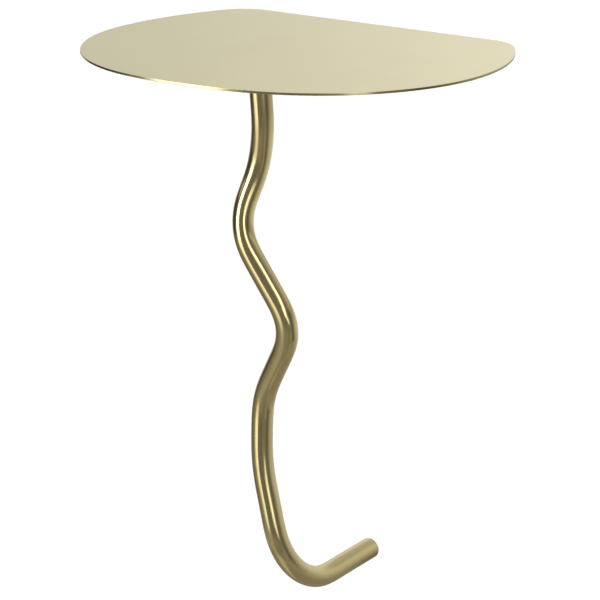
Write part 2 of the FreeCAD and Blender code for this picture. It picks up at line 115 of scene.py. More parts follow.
# %% Tone, grain and relief
def new_finish(name):
    """An empty material, and a wire that starts its shader."""
    material = bpy.data.materials.new(name)
    material.use_nodes = True
    material.node_tree.nodes.clear()
    return material, Wire(material.node_tree)


def place_in_metres(start):
    """The point of the surface that is shaded, in its object's own frame."""
    return start.node("TexCoord", output="Object")


def part_of(vector, axis):
    """One of a vector's three numbers."""
    return vector.node("SeparateXYZ", (), {0: vector}, output=axis)


def between(factor, first, second):
    """Colour that goes from the first to the second, colours or wires, as the factor goes from 0 to 1."""
    first, second = (end if isinstance(end, Wire) else (*end, 1.0) for end in (first, second))
    return factor.node("Mix", {"data_type": "RGBA"}, {0: factor, 6: first, 7: second}, output=2)


def grain(start, size_mm, stretch=(1.0, 1.0, 1.0), detail=2.0, unevenness=0.5):
    """Cloudy noise from 0 to 1 with lumps of about that size, longer along axes with a small stretch."""
    place = start.node("Mapping", (), {"Vector": place_in_metres(start), "Scale": stretch})
    inputs = {"Vector": place, "Scale": 1000.0 / size_mm, "Detail": detail, "Roughness": unevenness}
    return start.node("TexNoise", (), inputs)


def relief(height, depth_mm, strength):
    """Bump of about that depth, for a shader's Normal."""
    return height.node("Bump", (), {"Height": height, "Distance": depth_mm / 1000.0, "Strength": strength})


print("Tone, grain and relief are ready")

# %% [markdown]
# Metal.
# All pieces of this table are metal, so every finish ends in the same shader, with its own tone, gloss and
# relief. A piece whose CAD shape is right could be copied and dressed, but it is simpler to leave it and give
# the finish to its material slots. Pieces with finer forms than the solids are shaped again further down.


# %% Metal
def metal(start, settings):
    """Metal surface that ends the material."""
    surface = start.node("BsdfPrincipled", (), {"Metallic": 1.0, **settings})
    surface.node("OutputMaterial", (), {"Surface": surface})


def dress(finish, *names):
    """Gives CAD nodes a finish in all their material slots."""
    for name in names:
        for slot in nodes[name].material_slots:
            slot.material = finish
    print(finish.name, "on", ", ".join(names))


print("Metal is ready, and so is dressing CAD pieces with it")

# %% [markdown]
# Satin brass.
# The top is a brass sheet that was sanded with fine grit and lacquered. It reflects softly, without visible
# strokes, and its tone drifts a little from place to place. Long brush lines are the usual way to a satin
# metal, but this one shows none, so noise of three sizes does it: clouds for the tone, and grit and rubs for
# the gloss. The rim was polished by hand after sanding, so it is smoother than the faces.

# %% Satin brass
SATIN_TONES = ((0.590, 0.528, 0.292), (0.640, 0.578, 0.328))
RIM_ROUGHNESS = 0.15
# The rim lies between these heights, and height is the third number of a place.
RIM_LOW = 0.0191
RIM_HIGH = 0.0217
UPRIGHT = 2
satin_brass, start = new_finish("satin_brass")
clouds = grain(start, size_mm=160, detail=3.0)
grit = grain(start, size_mm=0.8)
rubs = grain(start, size_mm=28, stretch=(1.0, 0.25, 1.0), detail=4.0)
height = part_of(place_in_metres(start), UPRIGHT)
face = height.math("GREATER_THAN", height, RIM_HIGH)
underside = height.math("LESS_THAN", height, RIM_LOW)
sanded = face + underside
metal(start, {
    "Base Color": between(clouds, *SATIN_TONES),
    "Roughness": RIM_ROUGHNESS + sanded * (0.10 + 0.04 * grit + 0.05 * rubs),
    "Normal": relief(grit, depth_mm=0.004, strength=0.25),
})
dress(satin_brass, "tabletop")

# %% [markdown]
# Bend table of the leg.
# The tube was bent cold, one bend after the other, on rollers of different size, so its line is straight
# runs that are joined by arcs. A Bezier curve could follow it by eye. A bender works from a table, though,
# and the CAD leg has the same one, so the line here is worked out from it: each row gives the corner where
# two runs would meet, and the radius that rounds it.

# %% Bend table
# Name, then place along the wall, place towards the wall, height and bend radius in mm, then how much the
# bend squeezes the tube, and how far from the bend that reaches in mm.
BENDS = (
    ("heel", -5, -184, -666, 80, 0.020, 95),
    ("ankle", -57, -167, -504, 240, 0.010, 68),
    ("calf", -61, -158, -422, 85, 0.010, 50),
    ("knee", -8, -169, -322, 55, -0.055, 110),
    ("hip", -86, -176, -205, 80, 0.050, 62),
    ("shoulder", -70, -150, -132, 95, 0.010, 50),
    ("neck", -60, -156, -83, 120, 0.005, 32),
    ("crown", -62, -159, -26, 120, 0.000, 30),
)
FOOT_END = Vector((-5, 0, -666)) / 1000
LEG_TOP = Vector((-62, -159, 19)) / 1000
RING_STEP = 0.003
FEWEST_STEPS = 4


def bend_arc(before, corner, after, radius):
    """Points of the arc that joins the runs before and after a corner, and the direction to its centre."""
    back = (before - corner).normalized()
    on = (after - corner).normalized()
    half_turn = (math.pi - back.angle(on)) / 2
    first = corner + back * radius * math.tan(half_turn)
    inward = (back + on).normalized()
    centre = corner + inward * radius / math.cos(half_turn)
    count = max(FEWEST_STEPS, round(2 * half_turn * radius / RING_STEP))
    axis = back.cross(on)
    turns = [Quaternion(axis, -2 * half_turn * index / count) for index in range(count + 1)]
    return [centre + turn @ (first - centre) for turn in turns], inward


corners = [FOOT_END, *(Vector(bend[1:4]) / 1000 for bend in BENDS), LEG_TOP]
line = [FOOT_END]
squeezes = []
for index, bend in enumerate(BENDS, start=1):
    radius, squeeze, reach = bend[4:]
    arc, inward = bend_arc(corners[index - 1], corners[index], corners[index + 1], radius / 1000)
    squeezes.append((arc[len(arc) // 2], inward, squeeze, reach / 1000))
    line.extend(arc)
line.append(LEG_TOP)
length = sum((there - here).length for here, there in zip(line, line[1:]))
print("Centreline:", len(line), "points,", round(length, 3), "m long")

# %% [markdown]
# Gradual bends.
# Rollers take hold of a tube and let go of it gradually. Where a straight run becomes an arc at once, a
# polished tube shows a kink in its highlights. Longer transition curves could be worked out for each bend,
# but averaging every point with its neighbours gives the same look. It moves the line by little more than a
# millimetre, because what the averaging takes away is averaged as well and put back.

# %% Eased line
EASING_ROUNDS = 40


def filled(points, step):
    """The same line with more points on its long runs."""
    dense = []
    for here, there in zip(points, points[1:]):
        count = max(1, round((there - here).length / step))
        dense.extend(here.lerp(there, index / count) for index in range(count))
    return [*dense, points[-1]]


def averaged(points):
    """The points after rounds of averaging with their neighbours. The two ends stay."""
    for _ in range(EASING_ROUNDS):
        triples = zip(points, points[1:], points[2:])
        inner = [(before + 2 * here + after) / 4 for before, here, after in triples]
        points = [points[0], *inner, points[-1]]
    return points


def eased(points):
    """The line with gradual bends."""
    smooth = averaged(points)
    taken = averaged([point - mean for point, mean in zip(points, smooth)])
    return [mean + rest for mean, rest in zip(smooth, taken)]


dense_line = filled(line, RING_STEP)
eased_line = eased(dense_line)
shift = max((after - before).length for before, after in zip(dense_line, eased_line))
print("Eased line:", len(eased_line), "points, moved by at most", round(shift * 1000, 2), "mm")

# %% [markdown]
# Skin of the leg.
# A bend squeezes the tube a little towards its middle and widens it across. Only the knee looks fuller from
# the front, so its squeeze in the table is negative. A curve with a bevel would stay round, so the skin is
# made of rings of points, and each ring turns oval near a bend. Every ring takes its first direction from the
# ring before it, so the skin doesn't twist.

# %% Rings round the leg
TUBE_RADIUS = 0.0135
LEG_SIDES = 56


def oval(point, direction):
    """Scale of the tube's radius at a point, towards a direction, from the bends near it."""
    scale = 1.0
    for middle, inward, squeeze, reach in squeezes:
        near = max(0.0, 1 - (point - middle).length / reach)
        ease = near * near * (3 - 2 * near)
        scale -= squeeze * ease * (2 * inward.dot(direction) ** 2 - 1)
    return scale


def rings_along(points, radius):
    """Rings of points round a line, turned along it without twist."""
    rings = []
    side = Vector((1, 0, 0))
    for index, point in enumerate(points):
        ahead = points[min(index + 1, len(points) - 1)] - points[max(index - 1, 0)]
        ahead.normalize()
        side = (side - ahead * side.dot(ahead)).normalized()
        across = ahead.cross(side)
        ring = []
        for step in range(LEG_SIDES):
            angle = 2 * math.pi * step / LEG_SIDES
            direction = side * math.cos(angle) + across * math.sin(angle)
            ring.append(point + direction * radius * oval(point, direction))
        rings.append(ring)
    return rings


leg_rings = rings_along(eased_line, TUBE_RADIUS)
print("Leg rings:", len(leg_rings))

# %% [markdown]
# Rows into meshes.
# The leg, the washers, the nuts and the studs are all rows of points with faces between them, and so are the
# screens of the studio. Modifiers such as Screw could make some of them, but one helper that joins rows makes
# all. It can cap the first and the last row, join the last row to the first, and repeat the shape at several
# places, because like fasteners are one piece.

# %% Lofted meshes
CRISP_EDGE = math.radians(35)


def face_outward(mesh):
    """Turns all faces outward, and shades them smooth with crisp edges."""
    shape = bmesh.new()
    shape.from_mesh(mesh)
    bmesh.ops.recalc_face_normals(shape, faces=shape.faces)
    shape.to_mesh(mesh)
    shape.free()
    mesh.polygons.foreach_set("use_smooth", [True] * len(mesh.polygons))
    mesh.set_sharp_from_angle(angle=CRISP_EDGE)


def lofted(name, rows, closed=True, capped=False, loop=False, places=(Vector(),)):
    """Mesh object through rows with the same number of points, once at each place."""
    around, count = len(rows[0]), len(rows)
    faces = []
    for base in range(0, len(places) * count * around, count * around):
        for row in range(count if loop else count - 1):
            here = base + row * around
            there = base + (row + 1) % count * around
            for step in range(around if closed else around - 1):
                on = (step + 1) % around
                faces.append((here + step, here + on, there + on, there + step))
        if capped:
            faces.append(range(base, base + around))
            faces.append(range(base + (count - 1) * around, base + count * around))
    mesh = bpy.data.meshes.new(name)
    mesh.from_pydata([place + point for place in places for row in rows for point in row], [], faces)
    face_outward(mesh)
    piece = bpy.data.objects.new(name, mesh)
    bpy.context.collection.objects.link(piece)
    return piece


print("Lofting is ready")

# %% [markdown]
# Foot end.
# At the wall the tube was sawn square and its edge broken with a file. The end shows as a narrow ring with a
# dark bore, which the boss fills. A bevel modifier on the open end would round both edges alike, so the end
# is five more rings in front of the leg's own: the bore, its small burr, the sawn face and the filed edge.

# %% Foot end
BORE_RADIUS = 0.0115
BORE_DEPTH = 0.045
BURR = 0.0003
FOOT_CHAMFER = 0.0008
AWAY_FROM_WALL = Vector((0, -1, 0))


def end_ring(radius, depth):
    """Ring round the foot's axis, that far from the wall."""
    scale = radius / TUBE_RADIUS
    return [FOOT_END + (point - FOOT_END) * scale + AWAY_FROM_WALL * depth for point in leg_rings[0]]


foot_rings = [
    end_ring(BORE_RADIUS, BORE_DEPTH),
    end_ring(BORE_RADIUS, BURR),
    end_ring(BORE_RADIUS + BURR, 0),
    end_ring(TUBE_RADIUS - FOOT_CHAMFER, 0),
    end_ring(TUBE_RADIUS, FOOT_CHAMFER),
]
leg_skin = lofted("leg_skin", foot_rings + leg_rings[1:], capped=True)
print("Leg skin:", len(leg_skin.data.polygons), "faces")

# %% [markdown]
# Hole for the set screw.
# A hole was drilled into the foot from below, and the set screw that locks the leg on its boss sits in it.
# The rings could be rebuilt round the hole by hand, but an exact boolean with a round drill cuts the tube's
# wall as a drill does. The result becomes a plain mesh, and the drill is removed.

# %% Set screw hole
TURNED_SIDES = 36
SET_SCREW = Vector((-0.005, -0.016, -0.6795))
HOLE_RADIUS = 0.0026
# Lower and upper end of the drill, from the set screw's outer face.
DRILL_LOW = -0.002
DRILL_HIGH = 0.005


def turned_row(radius, height):
    """Ring of points round an upright axis. The radius and the height are numbers, or follow the angle."""
    points = []
    for step in range(TURNED_SIDES):
        angle = 2 * math.pi * step / TURNED_SIDES
        out = radius(angle) if callable(radius) else radius
        up = height(angle) if callable(height) else height
        points.append(Vector((out * math.cos(angle), out * math.sin(angle), up)))
    return points


drill_rows = [turned_row(HOLE_RADIUS, DRILL_LOW), turned_row(HOLE_RADIUS, DRILL_HIGH)]
drill = lofted("drill", drill_rows, capped=True, places=(SET_SCREW,))
cut = leg_skin.modifiers.new("hole", "BOOLEAN")
cut.object = drill
cut.solver = "EXACT"
drilled = leg_skin.evaluated_get(bpy.context.evaluated_depsgraph_get())
drilled_mesh = bpy.data.meshes.new_from_object(drilled)
leg_skin.modifiers.clear()
leg_skin.data = drilled_mesh
face_outward(drilled_mesh)
bpy.data.objects.remove(drill)
print("Leg skin with its hole:", len(leg_skin.data.polygons), "faces")

# %% [markdown]
# Polished brass.
# The leg was polished until it mirrors, then lacquered. Hand polishing leaves faint waves and a few duller
# patches. A plain low roughness would look like chrome, so the gloss and the tone drift in clouds of two
# sizes, and the waves are a relief of less than a tenth of a millimetre. Under the foot close to the wall,
# the brass's colour is darkened with painted shade.

# %% Polished brass
LEG_TONES = ((0.58, 0.473, 0.233), (0.77, 0.654, 0.318))
# Colour of the painted shade under the foot near the wall, and how much of it is mixed into the brass.
PAINTED_SHADE = (0.150, 0.120, 0.060)
PAINTED_SHADE_SHARE = 0.8
# The painted shade under the foot grows between these places towards the wall, the second number of a
# place, and fades between these heights.
TO_WALL = 1
NEAR_WALL = (-0.085, -0.010)
UNDER_FOOT = (-0.675, -0.660)


def rise(value, low, high):
    """Smooth step from 0 below the low end to 1 above the high end."""
    settings = {"interpolation_type": "SMOOTHSTEP"}
    return value.node("MapRange", settings, {"Value": value, "From Min": low, "From Max": high})


def stand_for(piece, node, finish, slot):
    """Lets a piece with a finish stand for a CAD node, and prints the name of that finish's slot."""
    piece.data.materials.append(finish)
    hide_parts(node)
    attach(piece, "root")
    print(piece.name, len(piece.data.polygons), "faces, in", slot)


polished_brass, start = new_finish("polished_brass")
patches = grain(start, size_mm=60, detail=3.0)
clouds = grain(start, size_mm=9, stretch=(1.0, 1.0, 0.5), detail=4.0, unevenness=0.6)
strokes = grain(start, size_mm=1.2, stretch=(1.0, 1.0, 0.12))
waves = grain(start, size_mm=14, stretch=(1.0, 1.0, 0.4), detail=1.0)
place = place_in_metres(start)
# Mask of the painted shade: darker colour under the foot, close to the wall.
painted_shade_under_foot = rise(part_of(place, TO_WALL), *NEAR_WALL) * (1 - rise(part_of(place, UPRIGHT), *UNDER_FOOT))
brass = between(0.4 * patches + 0.6 * clouds, *LEG_TONES)
metal(start, {
    "Base Color": between(PAINTED_SHADE_SHARE * painted_shade_under_foot, brass, PAINTED_SHADE),
    "Roughness": 0.08 + 0.05 * patches + 0.05 * clouds + 0.02 * strokes,
    "Normal": relief(waves, depth_mm=0.09, strength=0.5),
})
stand_for(leg_skin, "leg", polished_brass, "polished_brass")

# %% [markdown]
# Turned brass.
# The flange under the top and the boss at the wall were turned on a lathe. The tool leaves fine rings round
# the axis, about four to the millimetre. Real grooves would need far too many faces, so the rings are a noise
# with one dimension, the distance from the axis. The two pieces have different axes, and the nearer counts.

# %% Turned brass
TURNED_TONES = ((0.585, 0.475, 0.205), (0.695, 0.580, 0.265))
RINGS_PER_METRE = 4000.0
FLANGE_MIDDLE = Vector((-0.062, -0.159, 0.019))


def from_axis(start, middle, axis):
    """Distance in metres from a line through a point along an axis."""
    away = start.node("VectorMath", {"operation": "SUBTRACT"}, {0: place_in_metres(start), 1: middle})
    flat = [0.0 if index == axis else 1.0 for index in range(3)]
    away = start.node("VectorMath", {"operation": "MULTIPLY"}, {0: away, 1: flat})
    return start.node("VectorMath", {"operation": "LENGTH"}, {0: away}, output="Value")


turned_brass, start = new_finish("turned_brass")
from_flange = from_axis(start, FLANGE_MIDDLE, UPRIGHT)
from_boss = from_axis(start, FOOT_END, TO_WALL)
distance = start.math("MINIMUM", from_flange, from_boss)
ring_inputs = {"W": distance, "Scale": RINGS_PER_METRE, "Detail": 2.0}
tool_rings = start.node("TexNoise", {"noise_dimensions": "1D"}, ring_inputs)
tone = grain(start, size_mm=12, detail=3.0)
metal(start, {
    "Base Color": between(0.6 * tone + 0.4 * tool_rings, *TURNED_TONES),
    "Roughness": 0.16 + 0.10 * tone + 0.12 * tool_rings,
    "Normal": relief(tool_rings, depth_mm=0.02, strength=0.5),
})
dress(turned_brass, "leg_flange", "foot_boss")

# %% [markdown]
# Studs, washers and nuts.
# Four short studs under the flange and three under the wall bracket are welded to the top, and each carries a
# washer and a hexagon nut. The CAD solids are plain rods, rings and prisms. Each kind is shaped again below,
# once, and repeated at these places, which are the same as in the CAD model.

# %% Places of the fasteners
UNDERSIDE = 0.019
STUD_CIRCLE = 0.034
STUD_SPACING = 0.085
STUD_SETBACK = 0.019
FLANGE_SEAT = 0.005
BRACKET_SEAT = 0.003
quarter_turns = [math.pi / 2 * index for index in range(4)]
flange_spots = [
    (FLANGE_MIDDLE.x + STUD_CIRCLE * math.cos(turn), FLANGE_MIDDLE.y + STUD_CIRCLE * math.sin(turn))
    for turn in quarter_turns
]
bracket_spots = [(STUD_SPACING * index, -STUD_SETBACK) for index in (-1, 0, 1)]
# Name, spots, and the thickness of the seat that the studs go through.
SEATS = (("flange", flange_spots, FLANGE_SEAT), ("bracket", bracket_spots, BRACKET_SEAT))


def places_at(spots, height):
    """The spots as points at a height."""
    return [Vector((x, y, height)) for x, y in spots]


print("Fasteners:", {name: len(spots) for name, spots, seat in SEATS})

# %% [markdown]
# Zinc steel.
# Washers and nuts are plain steel with a thin coat of zinc. The coat is bluish in some places and yellowish
# in others, and its gloss is speckled. A photo of such metal would repeat on every nut, so two sizes of noise
# give each one its own tint.

# %% Zinc steel
ZINC_TONES = ((0.53, 0.55, 0.59), (0.66, 0.64, 0.57))
zinc_steel, start = new_finish("zinc_steel")
tint = grain(start, size_mm=5)
speckle = grain(start, size_mm=0.6, detail=3.0)
metal(start, {
    "Base Color": between(0.7 * tint + 0.3 * speckle, *ZINC_TONES),
    "Roughness": 0.22 + 0.10 * tint + 0.10 * speckle,
    "Normal": relief(speckle, depth_mm=0.01, strength=0.4),
})
print("Zinc steel is ready")

# %% [markdown]
# Washers.
# A washer is punched from sheet, and tumbling rounds its edges. A cylinder with a hole would have sharp ones.
# Eight rows round the axis, joined into a loop, give the two faces, the two walls and the four broken edges.

# %% Washers
WASHER = 0.001
# Radius and height in mm, once round the section.
WASHER_SECTION = (
    (2.80, 0.10), (2.90, 0.0), (4.85, 0.0), (5.0, 0.15), (5.0, 0.85), (4.85, 1.0), (2.90, 1.0), (2.80, 0.90),
)
washer_rows = [turned_row(radius / 1000, height / 1000) for radius, height in WASHER_SECTION]
for name, spots, seat in SEATS:
    places = places_at(spots, UNDERSIDE - seat - WASHER)
    washers = lofted(name + "_washer_rings", washer_rows, loop=True, places=places)
    stand_for(washers, name + "_washers", zinc_steel, "zinc_steel")

# %% [markdown]
# Nuts.
# A nut is a hexagon whose corners are turned off at 30 degrees, which leaves a curved edge on every side. A
# boolean with a cone would cut it. Rows do it with clean faces: the radius of a side row follows the hexagon,
# and its height follows the cone.

# %% Nuts
NUT = 0.004
NUT_FLATS = 0.008
NUT_FACE = 0.0039
THREAD_HOLE = 0.00255
HOLE_BEVEL = 0.0004
CHAMFER_SLOPE = math.tan(math.radians(30))


def hexagon(angle, flats):
    """Radius of a hexagon at an angle from one of its corners."""
    return flats / 2 / math.cos(angle % (math.pi / 3) - math.pi / 6)


def nut_side(angle):
    """Radius of the nut's side at an angle."""
    return hexagon(angle, NUT_FLATS)


def nut_corner(angle):
    """How far the chamfer cuts down the nut's side at an angle."""
    return max(0.0, nut_side(angle) - NUT_FACE) * CHAMFER_SLOPE


nut_rows = [
    turned_row(THREAD_HOLE, NUT - HOLE_BEVEL),
    turned_row(THREAD_HOLE + HOLE_BEVEL, NUT),
    turned_row(NUT_FACE, NUT),
    turned_row(nut_side, lambda angle: NUT - nut_corner(angle)),
    turned_row(nut_side, nut_corner),
    turned_row(NUT_FACE, 0),
    turned_row(THREAD_HOLE + HOLE_BEVEL, 0),
    turned_row(THREAD_HOLE, HOLE_BEVEL),
]
for name, spots, seat in SEATS:
    places = places_at(spots, UNDERSIDE - seat - WASHER - NUT)
    nuts = lofted(name + "_hexagon_nuts", nut_rows, loop=True, places=places)
    stand_for(nuts, name + "_nuts", zinc_steel, "zinc_steel")

# %% [markdown]
# Studs.
# The studs are brass rods, and their tails carry a rolled thread. A bump could only hint at it, and it would
# leave the outline smooth. So the tail is made of rows a tenth of a millimetre apart, whose radius goes up
# and down with a helix. The rows near the tip are also cut by a small cone, so the nut starts easily.

# %% Studs
STUD_TONES = ((0.52, 0.420, 0.180), (0.66, 0.550, 0.250))
STUD_RADIUS = 0.0025
STUD_TAIL = 0.002
PITCH = 0.0008
THREAD_DEPTH = 0.00045
TIP_CHAMFER = 0.0006
THREAD_STEP = 0.0001
THREAD_ROWS = 27
THREAD_END = 0.0028
stud_brass, start = new_finish("stud_brass")
tone = grain(start, size_mm=2.5, detail=3.0)
metal(start, {
    "Base Color": between(tone, *STUD_TONES),
    "Roughness": 0.26 + 0.14 * tone,
})


def thread(height):
    """Radius of the thread at a height over the stud's tip, for each angle."""
    tip = STUD_RADIUS - TIP_CHAMFER + height

    def radius(angle):
        ridge = abs(2 * ((height / PITCH - angle / (2 * math.pi)) % 1.0) - 1)
        return min(tip, STUD_RADIUS - THREAD_DEPTH * (1 - ridge))

    return radius


heights = [step * THREAD_STEP for step in range(THREAD_ROWS)]
tail_rows = [turned_row(thread(height), height) for height in heights]
for name, spots, seat in SEATS:
    length = seat + WASHER + NUT + STUD_TAIL
    stud_rows = [*tail_rows, turned_row(STUD_RADIUS, THREAD_END), turned_row(STUD_RADIUS, length)]
    places = places_at(spots, UNDERSIDE - length)
    studs = lofted(name + "_threaded_studs", stud_rows, capped=True, places=places)
    stand_for(studs, name + "_studs", stud_brass, "stud_brass")

# %% [markdown]
# Wall bracket.
# The bracket is folded from zinc-dipped steel sheet, and the zinc froze in flat crystals a few millimetres
# wide. Cloudy noise has no such edges. Each crystal mirrors a little differently, so the cells of a Voronoi
# pattern give the tone and the gloss, with long scuffs over them.

# %% Bracket steel
BRACKET_TONES = ((0.47, 0.48, 0.50), (0.66, 0.66, 0.65))
CRYSTALS_PER_METRE = 160.0
bracket_steel, start = new_finish("bracket_steel")
crystal_inputs = {"Vector": place_in_metres(start), "Scale": CRYSTALS_PER_METRE}
crystal_colours = start.node("TexVoronoi", (), crystal_inputs, output="Color")
crystals = start.node("SeparateColor", (), {0: crystal_colours})
scuffs = grain(start, size_mm=6, stretch=(0.2, 1.0, 1.0), detail=4.0)
metal(start, {
    "Base Color": between(0.6 * crystals + 0.4 * scuffs, *BRACKET_TONES),
    "Roughness": 0.24 + 0.14 * crystals + 0.10 * scuffs,
    "Normal": relief(scuffs, depth_mm=0.02, strength=0.3),
})
dress(bracket_steel, "wall_bracket")

# %% [markdown]
# Set screw.
# The set screw under the foot is black steel with a hexagon socket that ends in the drill's blunt cone. A
# boolean would cut the socket as well, but rows like those of the nuts make the screw in one go, from its
# inner end over the outer face into the socket.

# %% Set screw
BLACK_TONES = ((0.05, 0.05, 0.055), (0.12, 0.115, 0.11))
SET_SCREW_RADIUS = 0.0025
SET_SCREW_LENGTH = 0.00215
SET_SCREW_CHAMFER = 0.0003
SOCKET_FLATS = 0.00216
SOCKET_BEVEL = 0.0001
SOCKET_DEPTH = 0.0010
CONE_DEPTH = 0.0013
CONE_TIP = 0.0001
black_steel, start = new_finish("black_steel")
tone = grain(start, size_mm=0.8, detail=3.0)
metal(start, {
    "Base Color": between(tone, *BLACK_TONES),
    "Roughness": 0.32 + 0.18 * tone,
})


def socket(angle):
    """Radius of the socket at an angle."""
    return hexagon(angle, SOCKET_FLATS)


screw_rows = [
    turned_row(SET_SCREW_RADIUS, SET_SCREW_LENGTH),
    turned_row(SET_SCREW_RADIUS, SET_SCREW_CHAMFER),
    turned_row(SET_SCREW_RADIUS - SET_SCREW_CHAMFER, 0),
    turned_row(lambda angle: socket(angle) + SOCKET_BEVEL, 0),
    turned_row(socket, SOCKET_BEVEL),
    turned_row(socket, SOCKET_DEPTH),
    turned_row(CONE_TIP, CONE_DEPTH),
]
set_screw = lofted("set_screw_with_socket", screw_rows, capped=True, places=(SET_SCREW,))
stand_for(set_screw, "foot_set_screw", black_steel, "black_steel")

# %% [markdown]
# White backdrop.
# The table is shown on plain white, and polished metal shows its surroundings, so they are made with as much
# care as the metal. A white card behind the table would need a lamp of its own and would end somewhere. The
# world is the backdrop instead: white where it is seen, directly or in metal, and dimmer as a light, so that
# the floor keeps the table's shadow.

# %% Backdrop
WORLD_LIGHT = 0.45
scene = bpy.context.scene
scene.view_settings.view_transform = "Standard"


def seen_directly(start):
    """1 for rays that show the background: from the camera, in metal and through glass."""
    names = ("Is Camera Ray", "Is Glossy Ray", "Is Transmission Ray")
    camera_ray, glossy_ray, transmission_ray = (start.node("LightPath", output=name) for name in names)
    return start.math("MINIMUM", camera_ray + glossy_ray + transmission_ray, 1.0)


world = bpy.data.worlds.new("white_backdrop")
world.use_nodes = True
world.node_tree.nodes.clear()
scene.world = world
start = Wire(world.node_tree)
white = WORLD_LIGHT + (1 - WORLD_LIGHT) * seen_directly(start)
backdrop = start.node("Background", (), {"Color": white})
backdrop.node("OutputWorld", (), {"Surface": backdrop})
print("White backdrop with", WORLD_LIGHT, "of its light")

# %% [markdown]
# Floor.
# The floor is pale studio paper under the table, which hangs on the wall and doesn't touch it. It could be a
# curved sweep up to the backdrop, but a wide disc that is as white as the backdrop has no visible end
# either. A faint glow lifts the paper to white, and the table's soft shadow stays on it.

# %% Floor
FLOOR = -0.85
FLOOR_RADIUS = 30.0
FLOOR_SIDES = 64
FLOOR_TONES = ((0.86, 0.86, 0.86), (0.90, 0.90, 0.90))
FLOOR_GLOW = 0.18
TABLE_MIDDLE = -0.165
shape = bmesh.new()
bmesh.ops.create_circle(shape, cap_ends=True, segments=FLOOR_SIDES, radius=FLOOR_RADIUS)
disc = bpy.data.meshes.new("floor")
shape.to_mesh(disc)
shape.free()
floor = bpy.data.objects.new("floor", disc)
floor.location = (0, TABLE_MIDDLE, FLOOR)
bpy.context.collection.objects.link(floor)
pale_floor, start = new_finish("pale_floor")
tone = grain(start, size_mm=900)
paper = start.node("BsdfDiffuse", (), {"Color": between(tone, *FLOOR_TONES)})
glow = start.node("Emission", (), {"Color": FLOOR_GLOW * seen_directly(start)})
surface = start.node("AddShader", (), {0: paper, 1: glow})
surface.node("OutputMaterial", (), {"Surface": surface})
floor.data.materials.append(pale_floor)
print("Floor at", FLOOR, "m")

# %% [markdown]
# What the metal mirrors.
# A polished tube shows the whole room as thin upright stripes. Lamps alone would leave it white all over, so
# the room is painted on screens: soft boxes in front, a dark left side, pale walls behind, and a grey ground.
# The paint follows two angles that are seen from the leg's middle, the azimuth round from the front and the
# elevation. An image could hold such a room, but a few numbers along each angle are easier to change.


# %% Numbers that follow an angle
def along(value, *pairs):
    """Number that follows (place, number) pairs in straight steps as the value grows."""
    total = pairs[0][1]
    for (low, first), (high, second) in zip(pairs, pairs[1:]):
        inputs = {"Value": value, "From Min": low, "From Max": high, "To Max": second - first}
        total = total + value.node("MapRange", (), inputs)
    return total


def window(value, low, high, soft):
    """1 between two ends with soft edges, and 0 outside."""
    return rise(value, low - soft, low + soft) * (1 - rise(value, high - soft, high + soft))


def faded(factor, first, second):
    """Number that goes from the first to the second as the factor goes from 0 to 1."""
    return first + factor * (second - first)


print("Steps, windows and fades are ready")

# %% [markdown]
# Screens.
# A screen is a sheet that stands round the leg, as cards do in a studio. Lamps could light it, but a sheet
# that glows by itself has just the brightness that it is painted with. Only mirrored rays meet the screens,
# so they neither hide the table nor shade the floor.

# %% Painted screens
EYE = Vector((-0.05, TABLE_MIDDLE, -0.30))
BRIGHTEST = 5.0


def painted(name):
    """An empty screen paint, with its azimuth and its elevation in degrees."""
    paint, start = new_finish(name)
    aim = start.node("VectorMath", {"operation": "NORMALIZE"}, {0: place_in_metres(start)})
    x, y, z = (part_of(aim, axis) for axis in range(3))
    azimuth = start.math("ARCTAN2", x, 0.0 - y) * math.degrees(1)
    elevation = start.math("ARCSINE", z) * math.degrees(1)
    return paint, azimuth, elevation


def glowing(brightness, tint):
    """Ends a paint with its brightness, where 1 is white, and its tint."""
    inputs = {0: tint, "Scale": brightness / BRIGHTEST}
    colour = brightness.node("VectorMath", {"operation": "SCALE"}, inputs)
    glow = brightness.node("Emission", (), {"Color": colour, "Strength": BRIGHTEST})
    glow.node("OutputMaterial", (), {"Surface": glow})


def screen(name, paint, outline):
    """Upright or level strips between rows of (azimuth, radius, height) points round the leg's middle."""
    rows = []
    for row in outline:
        turns = [(math.radians(azimuth), radius, height) for azimuth, radius, height in row]
        rows.append([Vector((r * math.sin(a), -r * math.cos(a), h - EYE.z)) for a, r, h in turns])
    sheet = lofted(name, rows, closed=False)
    sheet.location = EYE
    sheet.data.materials.append(paint)
    sheet.visible_camera = False
    sheet.visible_diffuse = False
    sheet.visible_shadow = False
    sheet.visible_transmission = False
    print(name, len(sheet.data.polygons), "faces")


print("Screens are seen from", [round(number, 3) for number in EYE])

# %% [markdown]
# Walls and ground.
# The walls of the studio are dark on the left, grey in front and pale behind, and the paper on the ground is
# in the shade of the table. One even grey would make the tube look like plastic, because its edges need dark
# and pale stripes. Each table below gives the brightness at some azimuths. Three rings of ground lie inside
# each other, because the heel looks steeply down and the knee looks farther out.

